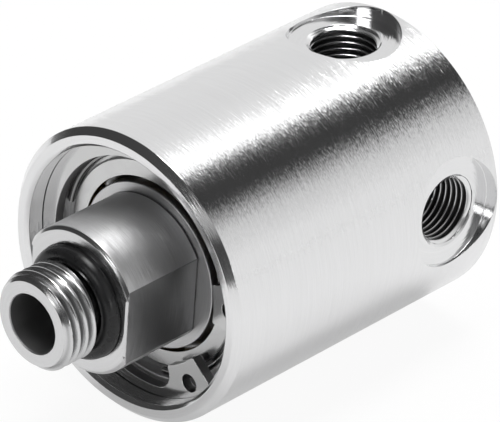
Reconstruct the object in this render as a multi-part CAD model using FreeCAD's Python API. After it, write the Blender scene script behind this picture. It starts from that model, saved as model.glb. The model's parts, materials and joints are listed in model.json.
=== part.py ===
"""Rotary distributor: a housing with four radial outlet ports turning on a threaded spindle.

Units are millimetres. The spindle's axis is Y, and one outlet port points up (+Z).
The origin is on the axis, in the middle of the inlet thread. The stud end is at negative Y.
Profiles are lists of (radius, y) points that are turned about the Y axis.
"""
import FreeCAD
import Part
import math
import os

from FreeCAD import Vector

# General fits
SEAT_GAP = 0.01          # radial gap where a ring is seated on a shaft or in a bore
RUNNING_GAP = 0.03       # radial gap where a seal lip runs on its journal
BALL_PLAY = 0.02         # gap between a ball and the bottom of each raceway
GROOVE_PLAY = 0.1        # groove width over the retaining ring's thickness

# Inlet stud, G 1/4 parallel pipe thread
STUD_THREAD_DIA = 13.157
STUD_THREAD_LENGTH = 4.6
STUD_CHAMFER = 0.8285
UNDERCUT_DIA = 10.0
UNDERCUT_WIDTH = 2.5
INLET_BORE_DIA = 8.0
INLET_BORE_EDGE = 0.15

# Stud seal
O_RING_SECTION = 2.65
O_RING_PLAY = 0.02       # radial gap between the O-ring and the undercut
SEAL_RECESS_DEPTH = 1.0

# Spindle
COLLAR_STEP = 1.5        # collar's height over the bearing seat
COLLAR_LENGTH = 12.45
COLLAR_EDGE = 0.3
FLAT_DEPTH = 1.5         # depth of each spanner flat under the collar's surface
FLATS_TURN = -6.0        # angle of the flats against the ports at rest, in degrees
SHAFT_LAND = 1.2
JOURNAL_DIA = 12.0
JOURNAL_REACH = 1.5      # length of the spindle's end in the chamber
JOURNAL_EDGE = 0.5

# Shielded ball bearings, 17 x 35 x 10
BEARING_BORE = 17.0
BEARING_SECTION = 9.0    # radial height from the bore to the outer diameter
BEARING_WIDTH = 10.0
BALL_COUNT = 10
BALL_SHARE = 0.529       # ball diameter over the bearing's section height
RACE_RATIO = 0.52        # raceway radius over ball diameter
TRACK_SHARE = 0.15       # depth of each raceway over ball diameter
RECESS_SHARE = 0.175     # height of the shield's recess over ball diameter
OUTER_RING_EDGE = 0.6
INNER_RING_EDGE = 0.3
RECESS_DEPTH = 1.7
RECESS_EDGE = 0.15
SHIELD_SHEET = 0.3
SHIELD_BORE_GAP = 0.67   # radial gap between a shield and the inner ring
SHIELD_STEP_GAP = 0.36   # radial gap between a shield's step and the outer ring's land
SHIELD_BEND = 0.28
SHIELD_SETBACK = 0.6
WIRE_DIA = 0.8
WIRE_START = 166.0       # angle of the wire's first end, measured from +X towards +Z
WIRE_SWEEP = 250.4       # angle that the wire covers from there, turning back through +X
CAGE_INNER_GAP = 0.9     # radial gap between a cage and the inner ring
CAGE_OUTER_GAP = 0.05    # radial gap between a cage and the step of each shield
CAGE_RIM = 0.45          # width of the cage beside its pockets
POCKET_PLAY = 0.12
SPACER_WIDTH = 2.0
OUTER_SPACER_GAP = 0.1   # radial distance from the recess to the outer spacer
INNER_SPACER_GAP = 0.43  # radial distance from the inner ring's shoulder to the inner spacer

# Housing
BODY_WALL = 2.5          # wall around the bearings
FRONT_CHAMFER = 0.9
REAR_CHAMFER = 0.3
LEAD_IN = 0.5
RING_SETBACK = 2.9       # front face to the front retaining ring
RELIEF_GAP = 1.59        # radial gap around the shaft retaining ring's lugs
RELIEF_END_GAP = 0.6     # gap behind the shaft retaining ring
CHAMBER_STEP = 1.5       # height of the shoulder behind the seal
CHAMBER_LENGTH = 9.6
REAR_WALL = 3.0

# Outlet ports, G 1/8 parallel pipe thread
PORT_COUNT = 4
REAR_LAND = 0.4          # wall between a spotface and the rear face
SPOTFACE_DIA = 15.0
SPOTFACE_DEPTH = 1.83
PORT_MINOR_DIA = 8.566
PORT_MOUTH_CHAMFER = 0.677
PORT_THREAD_DEPTH = 7.0
PASSAGE_DIA = 5.0
DRILL_POINT = 118.0      # included angle of the drill's point, in degrees

# Retaining rings: wide is the ring's height opposite its gap, and narrow the height at the gap
# Front retaining ring for the 35 mm bore
FRONT_RING = {
    "thickness": 1.5,
    "groove_depth": 1.0,
    "wide": 3.3,
    "narrow": 2.0,
    "lug_height": 5.5,
    "lug_angle": 24.2,
    "gap_angle": 33.0,
    "hole_dia": 2.5,
    "root_radius": 2.4,
    "facing": -29.0,
}

# Seal retaining ring for the 22 mm bore
SEAL_RING = {
    "thickness": 1.0,
    "groove_depth": 0.5,
    "wide": 2.55,
    "narrow": 1.85,
    "lug_height": 4.1,
    "lug_angle": 30.0,
    "gap_angle": 40.0,
    "hole_dia": 2.0,
    "root_radius": 1.2,
    "facing": 90.0,
}

# Shaft retaining ring for the 17 mm seat
SHAFT_RING = {
    "thickness": 1.0,
    "groove_depth": 0.4,
    "wide": 2.3,
    "narrow": 1.2,
    "lug_height": 3.8,
    "lug_angle": 24.0,
    "gap_angle": 40.0,
    "hole_dia": 1.7,
    "root_radius": 0.8,
    "facing": 90.0,
}
LUG_CORNER = 0.4

# Shaft seal, 12 x 22 x 5, with its backing washer
SEAL_SECTION = 5.0       # radial height from the journal to the outer diameter
SEAL_WIDTH = 5.0
SEAL_SHEET = 0.6
SEAL_CASE_LENGTH = 4.6
SEAL_CASE_EDGE = 0.3
LIP_NECK = 0.8
LIP_ROOT_STEP = 0.7      # radial distance from the lip's head to the case's flange
LIP_HEAD_LENGTH = 2.0
LIP_HEAD_HEIGHT = 1.5    # radial height of the lip's head over the journal
LIP_SET_IN = 0.5
LIP_EDGE = 0.5
SPRING_DIA = 0.9
SPRING_SEAT_DEPTH = 0.5
WASHER_WIDTH = 1.0
WASHER_GAP = 0.5         # radial gap between the backing washer and the journal
SEAL_BORE_LAND = 1.0     # housing wall in front of the seal retaining ring

# Radii of the bearings
SEAT_R = BEARING_BORE / 2
BEARING_R = SEAT_R + BEARING_SECTION
PITCH_R = SEAT_R + BEARING_SECTION / 2
BALL_DIA = BALL_SHARE * BEARING_SECTION
BALL_R = BALL_DIA / 2
RACE_R = RACE_RATIO * BALL_DIA
SHOULDER_R = PITCH_R - BALL_R + TRACK_SHARE * BALL_DIA
LAND_R = PITCH_R + BALL_R - TRACK_SHARE * BALL_DIA
RECESS_R = LAND_R + RECESS_SHARE * BALL_DIA
SHIELD_STEP_R = LAND_R - SHIELD_STEP_GAP

# Radii of the housing, spindle and seal
BODY_R = BEARING_R + BODY_WALL
COLLAR_R = SEAT_R + COLLAR_STEP
JOURNAL_R = JOURNAL_DIA / 2
SEAL_R = JOURNAL_R + SEAL_SECTION
LIP_HEAD_R = JOURNAL_R + LIP_HEAD_HEIGHT
FLANGE_R = LIP_HEAD_R + LIP_ROOT_STEP
THREAD_R = STUD_THREAD_DIA / 2
O_RING_R = O_RING_SECTION / 2
O_RING_CENTRE_R = UNDERCUT_DIA / 2 + O_RING_PLAY + O_RING_R
FRONT_GROOVE_R = BEARING_R + FRONT_RING["groove_depth"]
SEAL_GROOVE_R = SEAL_R + SEAL_RING["groove_depth"]
SHAFT_GROOVE_R = SEAT_R - SHAFT_RING["groove_depth"]

# Stations along the axis
Y_STUD_THREAD = -STUD_THREAD_LENGTH / 2
Y_STUD_END = Y_STUD_THREAD - STUD_CHAMFER
Y_UNDERCUT = STUD_THREAD_LENGTH / 2
Y_COLLAR = Y_UNDERCUT + UNDERCUT_WIDTH
Y_FRONT_BEARING = Y_COLLAR + COLLAR_LENGTH
Y_FRONT_RING = Y_FRONT_BEARING - FRONT_RING["thickness"]
Y_FRONT = Y_FRONT_RING - RING_SETBACK
Y_SPACER = Y_FRONT_BEARING + BEARING_WIDTH
Y_REAR_BEARING = Y_SPACER + SPACER_WIDTH
Y_STACK_END = Y_REAR_BEARING + BEARING_WIDTH
Y_SHAFT_LAND = Y_STACK_END + SHAFT_RING["thickness"] + GROOVE_PLAY
Y_JOURNAL = Y_SHAFT_LAND + SHAFT_LAND
Y_SEAL_BORE = Y_STACK_END + SHAFT_RING["thickness"] + RELIEF_END_GAP
Y_SEAL_GROOVE = Y_SEAL_BORE + SEAL_BORE_LAND
Y_WASHER = Y_SEAL_GROOVE + SEAL_RING["thickness"] + GROOVE_PLAY
Y_SEAL = Y_WASHER + WASHER_WIDTH
Y_CHAMBER = Y_SEAL + SEAL_WIDTH
Y_SPINDLE_END = Y_CHAMBER + JOURNAL_REACH
Y_CHAMBER_END = Y_CHAMBER + CHAMBER_LENGTH
Y_REAR = Y_CHAMBER_END + REAR_WALL
Y_PORTS = Y_REAR - REAR_LAND - SPOTFACE_DIA / 2

ORIGIN = Vector(0, 0, 0)
Y_AXIS = Vector(0, 1, 0)
Z_AXIS = Vector(0, 0, 1)


def turned(profile):
    """Solid made by turning a closed (radius, y) outline about the Y axis."""
    points = [Vector(radius, y, 0) for radius, y in profile]
    face = Part.Face(Part.makePolygon(points + points[:1]))
    return face.revolve(ORIGIN, Y_AXIS, 360)


def cylinder(radius, y, length, x=0.0, z=0.0):
    """Cylinder that starts at y and runs along +Y."""
    return Part.makeCylinder(radius, length, Vector(x, y, z), Y_AXIS)


def polar(radius, angle, y=0.0):
    """Point at an angle from +X towards +Z."""
    turn = math.radians(angle)
    return Vector(radius * math.cos(turn), y, radius * math.sin(turn))


def about_axis(shape, angle):
    """Turn a shape about the Y axis, from +X towards +Z."""
    copy = shape.copy()
    copy.rotate(ORIGIN, Y_AXIS, -angle)
    return copy


def spread(shape, count):
    """Evenly spaced copies of a shape about the Y axis."""
    return [about_axis(shape, 360.0 * i / count) for i in range(count)]


def wedge(reach, y, length, start, end):
    """Three-sided prism from the axis to a circle of the given reach, between two angles."""
    far = reach / math.cos(math.radians(end - start) / 2)
    corners = [Vector(0, y, 0), polar(far, start, y), polar(far, end, y), Vector(0, y, 0)]
    return Part.Face(Part.makePolygon(corners)).extrude(Y_AXIS * length)


def edges_at(shape, places, reach=0.01):
    """Edges parallel to the Y axis that pass through one of the given places."""
    found = []
    for edge in shape.Edges:
        first, last = edge.Vertexes[0].Point, edge.Vertexes[-1].Point
        if math.hypot(first.x - last.x, first.z - last.z) > reach:
            continue
        if any(math.hypot(first.x - p.x, first.z - p.z) < reach for p in places):
            found.append(edge)
    return found


def back_circle(ring, groove_r, side):
    """Radius of a retaining ring's back circle, and how far its centre is off the axis."""
    return groove_r - side * (ring["wide"] + ring["narrow"]) / 2, (ring["wide"] - ring["narrow"]) / 2


def lug_tip(ring, groove_r, side):
    """Radius of the lugs' ends."""
    return groove_r - side * (SEAT_GAP + ring["lug_height"])


def retaining_ring(ring, groove_r, y, internal):
    """Stamped retaining ring with two lugs: widest opposite the gap, narrower beside the lugs."""
    thickness = ring["thickness"]
    facing = ring["facing"]
    side = 1 if internal else -1
    seat = groove_r - side * SEAT_GAP
    tip = lug_tip(ring, groove_r, side)
    back, offset = back_circle(ring, groove_r, side)
    reach = max(seat, tip)
    centre = polar(side * offset, facing)
    seat_disc = cylinder(seat, y, thickness)
    back_disc = cylinder(back, y, thickness, centre.x, centre.z)
    tip_disc = cylinder(tip, y, thickness)
    half_gap = ring["gap_angle"] / 2
    lug_side = half_gap + ring["lug_angle"]
    lugs_span = wedge(reach, y, thickness, facing - lug_side, facing + lug_side)
    gap = wedge(reach, y, thickness, facing - half_gap, facing + half_gap)
    if internal:
        band = seat_disc.cut(back_disc)
        lugs = seat_disc.cut(tip_disc).common(lugs_span)
    else:
        band = back_disc.cut(seat_disc)
        lugs = tip_disc.cut(seat_disc).common(lugs_span)
    body = band.fuse(lugs).cut(gap).removeSplitter()
    turn = math.radians(lug_side)
    root_r = side * offset * math.cos(turn) + math.sqrt(back ** 2 - (offset * math.sin(turn)) ** 2)
    lug_wall = abs(root_r - tip) - 2 * LUG_CORNER
    for sign in (-1, 1):
        root = polar(root_r, facing + sign * lug_side)
        corners = [polar(tip, facing + sign * angle) for angle in (half_gap, lug_side)]
        body = body.makeFillet(min(ring["root_radius"], lug_wall), edges_at(body, [root]))
        body = body.makeFillet(LUG_CORNER, edges_at(body, corners))
        hole = polar((seat + tip) / 2, facing + sign * (half_gap + ring["lug_angle"] / 2))
        body = body.cut(cylinder(ring["hole_dia"] / 2, y, thickness, hole.x, hole.z))
    return body


def port_cutter():
    """Outlet port along +X: spotface, thread bore, drill point and passage to the chamber."""
    floor = BODY_R - SPOTFACE_DEPTH
    thread_r = PORT_MINOR_DIA / 2
    mouth_r = thread_r + PORT_MOUTH_CHAMFER
    passage_r = PASSAGE_DIA / 2
    bottom = floor - PORT_THREAD_DEPTH
    point = (thread_r - passage_r) / math.tan(math.radians(DRILL_POINT / 2))
    outline = [
        (0, 0), (passage_r, 0), (passage_r, bottom - point), (thread_r, bottom),
        (thread_r, floor - PORT_MOUTH_CHAMFER), (mouth_r, floor), (SPOTFACE_DIA / 2, floor),
        (SPOTFACE_DIA / 2, 2 * BODY_R), (0, 2 * BODY_R),
    ]
    points = [Vector(height, radius, 0) for radius, height in outline]
    face = Part.Face(Part.makePolygon(points + points[:1]))
    cutter = face.revolve(ORIGIN, Vector(1, 0, 0), 360)
    cutter.translate(Vector(0, Y_PORTS, 0))
    return cutter


def housing():
    """Turned body, bored from the front, with its ports cut across the chamber."""
    bore_r = BEARING_R + SEAT_GAP
    seal_r = SEAL_R + SEAT_GAP
    chamber_r = SEAL_R - CHAMBER_STEP
    relief_r = lug_tip(SHAFT_RING, SHAFT_GROOVE_R, -1) + RELIEF_GAP
    ring_end = Y_FRONT_BEARING + GROOVE_PLAY
    body = turned([
        (bore_r + LEAD_IN, Y_FRONT), (BODY_R - FRONT_CHAMFER, Y_FRONT),
        (BODY_R, Y_FRONT + FRONT_CHAMFER), (BODY_R, Y_REAR - REAR_CHAMFER),
        (BODY_R - REAR_CHAMFER, Y_REAR), (0, Y_REAR), (0, Y_CHAMBER_END),
        (chamber_r, Y_CHAMBER_END), (chamber_r, Y_CHAMBER), (seal_r, Y_CHAMBER),
        (seal_r, Y_WASHER), (SEAL_GROOVE_R, Y_WASHER), (SEAL_GROOVE_R, Y_SEAL_GROOVE),
        (seal_r, Y_SEAL_GROOVE), (seal_r, Y_SEAL_BORE), (relief_r, Y_SEAL_BORE),
        (relief_r, Y_STACK_END), (bore_r, Y_STACK_END), (bore_r, ring_end),
        (FRONT_GROOVE_R, ring_end), (FRONT_GROOVE_R, Y_FRONT_RING), (bore_r, Y_FRONT_RING),
        (bore_r, Y_FRONT + LEAD_IN),
    ])
    return body.cut(spread(port_cutter(), PORT_COUNT))


def spindle():
    """Stud, collar with two flats, bearing seats and seal journal, bored right through."""
    bore_r = INLET_BORE_DIA / 2
    under_r = UNDERCUT_DIA / 2
    recess_r = O_RING_CENTRE_R + O_RING_R + SEAT_GAP
    seat_r = SEAT_R - SEAT_GAP
    body = turned([
        (bore_r + INLET_BORE_EDGE, Y_STUD_END), (THREAD_R - STUD_CHAMFER, Y_STUD_END),
        (THREAD_R, Y_STUD_THREAD), (THREAD_R, Y_UNDERCUT), (under_r, Y_UNDERCUT),
        (under_r, Y_COLLAR + SEAL_RECESS_DEPTH), (recess_r, Y_COLLAR + SEAL_RECESS_DEPTH),
        (recess_r, Y_COLLAR), (COLLAR_R - COLLAR_EDGE, Y_COLLAR),
        (COLLAR_R, Y_COLLAR + COLLAR_EDGE), (COLLAR_R, Y_FRONT_BEARING),
        (seat_r, Y_FRONT_BEARING), (seat_r, Y_STACK_END), (SHAFT_GROOVE_R, Y_STACK_END),
        (SHAFT_GROOVE_R, Y_SHAFT_LAND), (seat_r, Y_SHAFT_LAND), (seat_r, Y_JOURNAL),
        (JOURNAL_R, Y_JOURNAL), (JOURNAL_R, Y_SPINDLE_END - JOURNAL_EDGE),
        (JOURNAL_R - JOURNAL_EDGE, Y_SPINDLE_END), (bore_r, Y_SPINDLE_END),
        (bore_r, Y_STUD_END + INLET_BORE_EDGE),
    ])
    corner = Vector(COLLAR_R - FLAT_DEPTH, Y_COLLAR, -2 * COLLAR_R)
    beside_flat = Part.makeBox(2 * COLLAR_R, COLLAR_LENGTH, 4 * COLLAR_R, corner)
    flats = [about_axis(beside_flat, FLATS_TURN + turn) for turn in (0, 180)]
    return body.cut(flats)


def stud_o_ring():
    """Sealing ring in the undercut, partly sunk in the collar's recess."""
    centre = Vector(0, Y_COLLAR + SEAL_RECESS_DEPTH - O_RING_R, 0)
    return Part.makeTorus(O_RING_CENTRE_R, O_RING_R, centre, Y_AXIS)


def raceway(radius, y):
    """Ring-shaped tool that cuts a ball track, as wide as its conformity to the ball asks."""
    return Part.makeTorus(radius, RACE_R, Vector(0, y + BEARING_WIDTH / 2, 0), Y_AXIS)


def inner_ring(y):
    """Bearing inner ring."""
    edge = INNER_RING_EDGE
    end = y + BEARING_WIDTH
    blank = turned([
        (SEAT_R + edge, y), (SHOULDER_R - edge, y), (SHOULDER_R, y + edge),
        (SHOULDER_R, end - edge), (SHOULDER_R - edge, end), (SEAT_R + edge, end),
        (SEAT_R, end - edge), (SEAT_R, y + edge),
    ])
    return blank.cut(raceway(PITCH_R - BALL_R - BALL_PLAY + RACE_R, y))


def outer_ring(y):
    """Bearing outer ring, with a recess at each side for the shield and its wire."""
    edge = OUTER_RING_EDGE
    end = y + BEARING_WIDTH
    blank = turned([
        (RECESS_R + RECESS_EDGE, y), (BEARING_R - edge, y), (BEARING_R, y + edge),
        (BEARING_R, end - edge), (BEARING_R - edge, end), (RECESS_R + RECESS_EDGE, end),
        (RECESS_R, end - RECESS_EDGE), (RECESS_R, end - RECESS_DEPTH), (LAND_R, end - RECESS_DEPTH),
        (LAND_R, y + RECESS_DEPTH), (RECESS_R, y + RECESS_DEPTH), (RECESS_R, y + RECESS_EDGE),
    ])
    return blank.cut(raceway(PITCH_R + BALL_R + BALL_PLAY - RACE_R, y))


def balls(y):
    """The ball set of one bearing."""
    ball = Part.makeSphere(BALL_R, Vector(PITCH_R, y + BEARING_WIDTH / 2, 0))
    return Part.makeCompound(spread(ball, BALL_COUNT))


def cage(y):
    """Ring with one drilled pocket for each ball."""
    middle = y + BEARING_WIDTH / 2
    pocket_r = BALL_R + POCKET_PLAY
    front, back = middle - pocket_r - CAGE_RIM, middle + pocket_r + CAGE_RIM
    inner_r = SHOULDER_R + CAGE_INNER_GAP
    outer_r = SHIELD_STEP_R - SHIELD_SHEET - CAGE_OUTER_GAP
    ring = turned([(inner_r, front), (outer_r, front), (outer_r, back), (inner_r, back)])
    pocket = Part.makeCylinder(pocket_r, 2 * outer_r, Vector(0, middle, 0), Vector(1, 0, 0))
    return ring.cut(spread(pocket, BALL_COUNT))


def mirrored_in_bearing(shape, y, at_rear):
    """The same piece at a bearing's other side."""
    if not at_rear:
        return shape
    return shape.mirror(Vector(0, y + BEARING_WIDTH / 2, 0), Y_AXIS)


def shield(y, at_rear):
    """Pressed shield: flat face, rounded step down and a flange against the ring's land."""
    face_y = y + SHIELD_SETBACK
    flange_y = y + RECESS_DEPTH
    step_r = SHIELD_STEP_R
    rim_r = RECESS_R - SEAT_GAP
    bore_r = SHOULDER_R + SHIELD_BORE_GAP
    plate = turned([
        (bore_r, face_y), (step_r, face_y), (step_r, flange_y - SHIELD_SHEET),
        (rim_r, flange_y - SHIELD_SHEET), (rim_r, flange_y), (step_r - SHIELD_SHEET, flange_y),
        (step_r - SHIELD_SHEET, face_y + SHIELD_SHEET), (bore_r, face_y + SHIELD_SHEET),
    ])
    bend = [edge for edge in plate.Edges if on_circle(edge, step_r, face_y)]
    return mirrored_in_bearing(plate.makeFillet(SHIELD_BEND, bend), y, at_rear)


def on_circle(edge, radius, y):
    """True for a full circle about the axis with this radius at this station."""
    if not isinstance(edge.Curve, Part.Circle):
        return False
    return abs(edge.Curve.Radius - radius) < 1e-4 and abs(edge.Curve.Center.y - y) < 1e-4


def snap_wire(y, at_rear):
    """Open wire ring that holds a shield in its recess."""
    wire_r = WIRE_DIA / 2
    centre_r = RECESS_R - SEAT_GAP - wire_r
    centre = Vector(centre_r, y + RECESS_DEPTH - SHIELD_SHEET - wire_r, 0)
    section = Part.Face(Part.Wire(Part.makeCircle(wire_r, centre, Z_AXIS)))
    ring = section.revolve(ORIGIN, Y_AXIS, WIRE_SWEEP)
    return mirrored_in_bearing(about_axis(ring, WIRE_START), y, at_rear)


def spacer(bore_r, outer_r):
    """Plain ring between the two bearings."""
    end = Y_SPACER + SPACER_WIDTH
    return turned([(bore_r, Y_SPACER), (outer_r, Y_SPACER), (outer_r, end), (bore_r, end)])


def backing_washer():
    """Washer that carries the seal against the pressure in the chamber."""
    bore_r = JOURNAL_R + WASHER_GAP
    return turned([(bore_r, Y_WASHER), (SEAL_R, Y_WASHER), (SEAL_R, Y_SEAL), (bore_r, Y_SEAL)])


def seal_case():
    """Pressed steel case of the shaft seal."""
    end = Y_SEAL + SEAL_CASE_LENGTH
    return turned([
        (FLANGE_R, Y_SEAL), (SEAL_R - SEAL_CASE_EDGE, Y_SEAL), (SEAL_R, Y_SEAL + SEAL_CASE_EDGE),
        (SEAL_R, end), (SEAL_R - SEAL_SHEET, end), (SEAL_R - SEAL_SHEET, Y_SEAL + SEAL_SHEET),
        (FLANGE_R, Y_SEAL + SEAL_SHEET),
    ])


def spring_centre():
    """Radius and station of the garter spring, half sunk in the lip's head."""
    radius = LIP_HEAD_R + SPRING_DIA / 2 - SPRING_SEAT_DEPTH
    return radius, Y_CHAMBER - LIP_SET_IN - LIP_HEAD_LENGTH / 2


def seal_lip():
    """Rubber part of the shaft seal: root on the flange, neck and sprung lip."""
    lip_r = JOURNAL_R + RUNNING_GAP
    head_end = Y_CHAMBER - LIP_SET_IN
    head_y = head_end - LIP_HEAD_LENGTH
    lip_y = head_y + LIP_HEAD_LENGTH / 3
    rubber = turned([
        (FLANGE_R - LIP_NECK, Y_SEAL), (FLANGE_R, Y_SEAL), (FLANGE_R, Y_SEAL + SEAL_SHEET),
        (LIP_HEAD_R, head_y), (LIP_HEAD_R, head_end), (lip_r + LIP_EDGE, head_end), (lip_r, lip_y),
        (LIP_HEAD_R - LIP_NECK, head_y),
    ])
    radius, centre_y = spring_centre()
    seat = Part.makeTorus(radius, SPRING_DIA / 2 + SEAT_GAP, Vector(0, centre_y, 0), Y_AXIS)
    return rubber.cut(seat)


def seal_spring():
    """Garter spring as a plain ring of its outer size."""
    radius, centre_y = spring_centre()
    return Part.makeTorus(radius, SPRING_DIA / 2, Vector(0, centre_y, 0), Y_AXIS)


def bearing_pieces(name, y):
    """Every piece of one bearing, by node name."""
    return {
        name + "_inner_ring": inner_ring(y),
        name + "_outer_ring": outer_ring(y),
        name + "_balls": balls(y),
        name + "_cage": cage(y),
        name + "_front_shield": shield(y, False),
        name + "_rear_shield": shield(y, True),
        name + "_front_wire": snap_wire(y, False),
        name + "_rear_wire": snap_wire(y, True),
    }


def all_pieces():
    """Every node of the distributor."""
    seal_ring_y = Y_WASHER - SEAL_RING["thickness"]
    pieces = {
        "housing": housing(),
        "spindle": spindle(),
        "stud_o_ring": stud_o_ring(),
        "front_retaining_ring": retaining_ring(FRONT_RING, FRONT_GROOVE_R, Y_FRONT_RING, True),
        "outer_spacer": spacer(RECESS_R + OUTER_SPACER_GAP, BEARING_R),
        "inner_spacer": spacer(SEAT_R, SHOULDER_R - INNER_SPACER_GAP),
        "shaft_retaining_ring": retaining_ring(SHAFT_RING, SHAFT_GROOVE_R, Y_STACK_END, False),
        "seal_retaining_ring": retaining_ring(SEAL_RING, SEAL_GROOVE_R, seal_ring_y, True),
        "seal_backing_washer": backing_washer(),
        "seal_case": seal_case(),
        "seal_lip": seal_lip(),
        "seal_spring": seal_spring(),
    }
    pieces.update(bearing_pieces("front_bearing", Y_FRONT_BEARING))
    pieces.update(bearing_pieces("rear_bearing", Y_REAR_BEARING))
    return pieces


def main():
    os.makedirs("parts", exist_ok=True)
    for name, shape in all_pieces().items():
        shape.exportStep("parts/" + name + ".step")
        print(name, len(shape.Solids), "solids,", round(shape.Volume, 1), "mm3")


main()
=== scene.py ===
import json
import math

import bmesh
import bpy
from bpy.props import FloatProperty, FloatVectorProperty, IntProperty, PointerProperty
from mathutils import Matrix, Vector


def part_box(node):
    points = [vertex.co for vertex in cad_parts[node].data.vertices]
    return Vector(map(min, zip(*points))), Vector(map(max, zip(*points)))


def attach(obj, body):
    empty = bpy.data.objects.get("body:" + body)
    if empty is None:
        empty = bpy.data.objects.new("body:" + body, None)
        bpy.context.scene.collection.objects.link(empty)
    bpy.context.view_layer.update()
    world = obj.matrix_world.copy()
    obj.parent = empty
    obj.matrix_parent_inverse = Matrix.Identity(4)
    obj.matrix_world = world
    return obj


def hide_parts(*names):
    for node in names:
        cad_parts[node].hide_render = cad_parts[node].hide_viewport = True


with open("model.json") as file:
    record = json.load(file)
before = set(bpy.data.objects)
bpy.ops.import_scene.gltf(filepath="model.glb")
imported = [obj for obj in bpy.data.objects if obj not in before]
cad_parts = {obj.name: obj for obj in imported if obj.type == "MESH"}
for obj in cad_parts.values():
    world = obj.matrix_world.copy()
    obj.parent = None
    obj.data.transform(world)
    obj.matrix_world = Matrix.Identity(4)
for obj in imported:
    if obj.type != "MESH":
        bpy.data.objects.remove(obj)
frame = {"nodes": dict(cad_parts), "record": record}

bl_info = {
    "name": "Rotary distributor",
    "version": (1, 0, 0),
    "blender": (4, 5, 0),
    "location": "3D View > Sidebar > Distributor",
    "description": "Models the visible pieces of a rotary distributor with their finishes and a studio stage",
    "category": "Object",
}

MM = 0.001
TO_MM = 1000
# Clearance between pieces that fit together
FIT = 0.01 * MM
# Distance under which two vertices are one
SAME_PLACE = 1e-7

# Thread form of 55 degrees: its depth and rounding as shares of the pitch, and its flanks' angle
THREAD_DEPTH = 0.640327
THREAD_ROUND = 0.137329
THREAD_FLANK = math.radians(27.5)

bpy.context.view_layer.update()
MOUNTS = {mount["name"]: mount for mount in frame["record"]["mounts"]}
AXIS = Vector((0, 1, 0))
ACROSS = Vector((1, 0, 0))
PORT_DIRECTIONS = [Vector(MOUNTS[name]["axis"]) for name in MOUNTS if name.startswith("outlet_")]
PORT_Y = MOUNTS["outlet_top"]["pos_m"][1]


def low(node):
    """A node's lowest corner at rest."""
    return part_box(node)[0]


def high(node):
    """A node's highest corner at rest."""
    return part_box(node)[1]


# Settings


class BodySizes(bpy.types.PropertyGroup):
    """Sizes of the housing and its ports."""

    chamfer: FloatProperty(
        name="Front chamfer", description="Chamfer around the front face", default=0.9 * MM, unit="LENGTH")
    rear_chamfer: FloatProperty(
        name="Rear chamfer", description="Broken edge at the rear", default=0.3 * MM, unit="LENGTH")
    lead_in: FloatProperty(
        name="Lead-in", description="Chamfer at the mouth of the bore", default=0.5 * MM, unit="LENGTH")
    groove_depth: FloatProperty(
        name="Groove depth", description="Depth of the retaining ring's groove",
        default=1.0 * MM, unit="LENGTH")
    spotface: FloatProperty(
        name="Spotface", description="Diameter of the flat around a port", default=15.0 * MM, unit="LENGTH")
    spotface_depth: FloatProperty(
        name="Spotface depth", description="Depth of that flat", default=1.83 * MM, unit="LENGTH")
    port_mouth: FloatProperty(
        name="Port mouth", description="Diameter of a port's countersink", default=9.92 * MM, unit="LENGTH")
    port_depth: FloatProperty(
        name="Thread depth", description="Depth of a port's thread", default=7.0 * MM, unit="LENGTH")
    port_pitch: FloatProperty(
        name="Port pitch", description="Pitch of a port's thread", default=0.907 * MM, unit="LENGTH")
    passage: FloatProperty(
        name="Passage", description="Diameter of the hole to the chamber", default=5.0 * MM, unit="LENGTH")
    edge: FloatProperty(
        name="Edge round", description="Radius of broken edges", default=0.05 * MM, unit="LENGTH")
    steps: IntProperty(
        name="Steps", description="Facets around the axis", default=256, min=32, max=512)


class SpindleSizes(bpy.types.PropertyGroup):
    """Sizes of the spindle."""

    bore: FloatProperty(
        name="Bore", description="Diameter of the inlet bore", default=8.0 * MM, unit="LENGTH")
    stud_end: FloatProperty(
        name="Stud end", description="Diameter of the stud's end face", default=11.5 * MM, unit="LENGTH")
    pitch: FloatProperty(
        name="Stud pitch", description="Pitch of the stud's thread", default=1.337 * MM, unit="LENGTH")
    undercut: FloatProperty(
        name="Undercut", description="Diameter behind the thread", default=10.0 * MM, unit="LENGTH")
    collar: FloatProperty(
        name="Collar", description="Diameter of the collar", default=20.0 * MM, unit="LENGTH")
    collar_edge: FloatProperty(
        name="Collar edge", description="Chamfer of the collar's front edge",
        default=0.45 * MM, unit="LENGTH")
    across_flats: FloatProperty(
        name="Across flats", description="Width over the spanner flats", default=17.0 * MM, unit="LENGTH")
    flats_turn: FloatProperty(
        name="Flats' turn", description="Angle of the flats against the ports",
        default=math.radians(-6), subtype="ANGLE")
    recess: FloatProperty(
        name="Seal recess", description="Diameter of the recess for the O-ring",
        default=15.36 * MM, unit="LENGTH")
    recess_depth: FloatProperty(
        name="Recess depth", description="Depth of that recess", default=1.0 * MM, unit="LENGTH")
    seat: FloatProperty(
        name="Bearing seat", description="Diameter of the bearings' seat", default=16.98 * MM, unit="LENGTH")
    journal: FloatProperty(
        name="Journal", description="Diameter under the seal", default=12.0 * MM, unit="LENGTH")


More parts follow.
